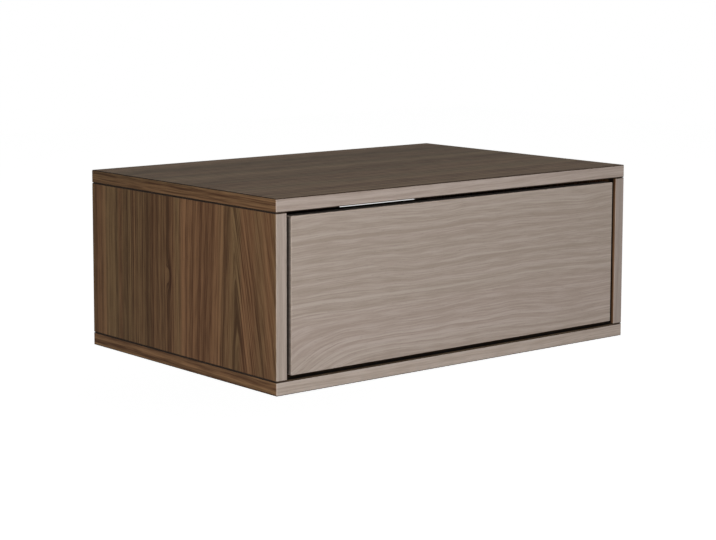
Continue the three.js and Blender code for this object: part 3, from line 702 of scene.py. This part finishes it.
def dress_boards():
    """The seed picks the place of the decor from which a board is cut."""
    dress("top_panel", walnut("top_panel_walnut", "wide", seed=16, inside="-z"))
    dress("bottom_panel", walnut("bottom_panel_walnut", "wide", seed=26, inside="+z", face_gain=1.08))
    left_side = walnut("left_side_walnut", "upright", seed=41, rings=arched_rings, knot=knot_place,
                       inside="+x", face_gain=0.99)
    dress("left_side_panel", left_side)
    dress("right_side_panel", walnut("right_side_walnut", "upright", seed=4, inside="-x", face_gain=0.82))
    drawer_front = walnut("drawer_front_walnut", "wide", seed=51, rings=fanned_rings,
                          swings=(wave_swing, ripple_swing), drawer_edges=True)
    dress("drawer_front", drawer_front)
    dress("mounting_rail", walnut("rail_walnut", "wide", seed=6))
    dress("drawer_left_side", walnut("drawer_left_walnut", "deep", seed=7, boxed=True))
    dress("drawer_right_side", walnut("drawer_right_walnut", "deep", seed=8, boxed=True))
    dress("drawer_box_front", walnut("box_front_walnut", "wide", seed=9, boxed=True))
    dress("drawer_box_back", walnut("box_back_walnut", "wide", seed=10, boxed=True))
    dress("back_panel", plain_wood("back_panel_board", **back_panel_look))
    dress("drawer_bottom", plain_wood("drawer_bottom_board", **drawer_bottom_look))


def dress_fittings():
    """Returns the zinc, which the small screws and pins share."""
    zinc = plated_steel("zinc", **zinc_look)
    runner_steel = plated_steel("runner_steel", **runner_look)
    cage_steel = plated_steel("cage_steel", **cage_look)
    beech = plain_wood("beech", **beech_look)
    for name in nodes:
        if name.endswith(("_cam", "_bolt", "_hanger_plate")) or "_screw" in name:
            dress(name, zinc)
        elif name.endswith("_dowel"):
            dress(name, beech)
        elif name.endswith("_member"):
            dress(name, runner_steel)
        elif name.endswith("_ball_cage"):
            dress(name, cage_steel)
    dress("push_latch_housing", moulded_plastic("black_plastic", **black_look))
    dress("push_latch_plunger", moulded_plastic("grey_plastic", **grey_look))
    return zinc


# Screws and pins that hold the runners, the latch and the back panel

screw_sides = 24
cross_half_length = 1.3 * millimetre
cross_half_width = 0.35 * millimetre
cross_depth = 0.7 * millimetre
runner_screw_radius = 2.2 * millimetre
runner_screw_height = 1.2 * millimetre
runner_screw_count = 3
runner_screw_inset = 35 * millimetre
side_board_gap = 0.2 * millimetre
drawer_box_gap = 0.1 * millimetre
latch_screw_radius = 3.6 * millimetre
latch_screw_height = 1.7 * millimetre
latch_screw_side_inset = 6 * millimetre
latch_screw_end_inset = 12 * millimetre
latch_foot_height = 3 * millimetre
pin_radius = 2.0 * millimetre
pin_height = 0.5 * millimetre
pin_inset = 3.85 * millimetre
side_pin_count = 3
lower_pin_count = 5
lower_pin_step = 120 * millimetre
upper_pin_reach = 90 * millimetre

# How far up the wall of a head ends, where its shoulder lies, and how wide its flat middle is
wall_height_share = 0.5
shoulder_height_share = 0.85
shoulder_radius_share = 0.9
screw_flat_share = 0.72
pin_flat_share = 0.8


def cross_reach(angle):
    """How far the outline of a cross recess lies from its centre."""
    least = 1e-6
    c = max(abs(math.cos(angle)), least)
    s = max(abs(math.sin(angle)), least)
    upright = min(cross_half_length / s, cross_half_width / c)
    level = min(cross_half_length / c, cross_half_width / s)
    return max(upright, level)


def screw_angles():
    """Even steps round the head, and the corners of the cross."""
    full_turn = 2 * math.pi
    quarter_turn = math.pi / 2
    corner = math.atan2(cross_half_width, cross_half_length)
    angles = [full_turn * i / screw_sides for i in range(screw_sides)]
    for i in range(4):
        angles += [i * quarter_turn + corner, (i + 1) * quarter_turn - corner]
    return sorted(angles)


def add_ring(shape, radius, height):
    """The radius is one length, or a function that gives a length for each angle."""
    ring = []
    for angle in screw_angles():
        reach = radius(angle) if callable(radius) else radius
        ring.append(shape.verts.new((reach * math.cos(angle), reach * math.sin(angle), height)))
    return ring


def add_turned(name, rings, place, axis, body, material):
    """A closed head from rings that run from its seat to its recess, turned to the given axis."""
    shape = bmesh.new()
    loops = [add_ring(shape, radius, height) for radius, height in rings]
    for lower, upper in zip(loops, loops[1:]):
        for i in range(len(lower)):
            j = (i + 1) % len(lower)
            shape.faces.new((lower[i], lower[j], upper[j], upper[i]))
    shape.faces.new(list(reversed(loops[0])))
    shape.faces.new(loops[-1])
    mesh = bpy.data.meshes.new(name)
    shape.to_mesh(mesh)
    shape.free()
    mesh.materials.append(material)
    head = bpy.data.objects.new(name, mesh)
    head.location = place
    head.rotation_euler = Vector(axis).to_track_quat("Z", "Y").to_euler()
    bpy.context.scene.collection.objects.link(head)
    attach(head, body)


def crossed_head(radius, height):
    """A pan head with a cross recess."""
    return [
        (radius, 0.0),
        (radius, wall_height_share * height),
        (shoulder_radius_share * radius, shoulder_height_share * height),
        (screw_flat_share * radius, height),
        (cross_reach, height),
        (cross_reach, height - cross_depth),
    ]


def flat_crossed_head(radius, height):
    return [(radius, 0.0), (radius, height), (cross_reach, height), (cross_reach, height - cross_depth)]


def pin_head(radius, height):
    return [(radius, 0.0), (radius, wall_height_share * height), (pin_flat_share * radius, height)]


def add_runner_screws(material):
    """Flat heads in the webs of the outer and the inner member, beside the case and beside the drawer box."""
    head = flat_crossed_head(runner_screw_radius, runner_screw_height)
    for side, sign in (("left", -1), ("right", 1)):
        low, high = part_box(f"{side}_runner_cabinet_member")
        level = (low[2] + high[2]) / 2
        front = low[1] + runner_screw_inset
        step = (high[1] - runner_screw_inset - front) / (runner_screw_count - 1)
        case_seat = min(abs(corner[0]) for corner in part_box(f"{side}_side_panel")) - side_board_gap
        drawer_seat = max(abs(corner[0]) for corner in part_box(f"drawer_{side}_side")) + drawer_box_gap
        for i in range(runner_screw_count):
            y = front + i * step
            place = (sign * case_seat, y, level)
            add_turned(f"{side}_cabinet_runner_screw_{i + 1}", head, place, (-sign, 0, 0), "case", material)
            place = (sign * drawer_seat, y, level)
            add_turned(f"{side}_drawer_runner_screw_{i + 1}", head, place, (sign, 0, 0), "drawer", material)


def add_latch_screws(material):
    """Pan heads on the foot of the latch, on both sides of its body."""
    head = crossed_head(latch_screw_radius, latch_screw_height)
    low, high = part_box("push_latch_housing")
    foot_top = low[2] + latch_foot_height
    sides = (low[0] + latch_screw_side_inset, high[0] - latch_screw_side_inset)
    ends = (low[1] + latch_screw_end_inset, high[1] - latch_screw_end_inset)
    places = [(x, y, foot_top) for x in sides for y in ends]
    for i, place in enumerate(places, 1):
        add_turned(f"latch_screw_{i}", head, place, (0, 0, 1), "case", material)


def add_back_pins(material):
    """Pins along the sides and the lower edge of the back panel, and two between its cable outlets."""
    head = pin_head(pin_radius, pin_height)
    low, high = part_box("back_panel")
    side_reach = high[0] - pin_inset
    side_step = (high[2] - low[2]) / (side_pin_count + 1)
    side_levels = [low[2] + (i + 1) * side_step for i in range(side_pin_count)]
    lower_places = [(i - (lower_pin_count - 1) / 2) * lower_pin_step for i in range(lower_pin_count)]
    places = [(sign * side_reach, z) for sign in (-1, 1) for z in side_levels]
    places += [(x, low[2] + pin_inset) for x in lower_places]
    places += [(sign * upper_pin_reach, high[2] - pin_inset) for sign in (-1, 1)]
    for i, (x, z) in enumerate(places, 1):
        add_turned(f"back_pin_{i}", head, (x, high[1], z), (0, 1, 0), "case", material)


add_camera()
add_world()
for light, settings in lights.items():
    add_light(light, **settings)
add_floor()
dress_boards()
zinc = dress_fittings()
add_runner_screws(zinc)
add_latch_screws(zinc)
add_back_pins(zinc)

bpy.context.scene.view_settings.view_transform = "Standard"
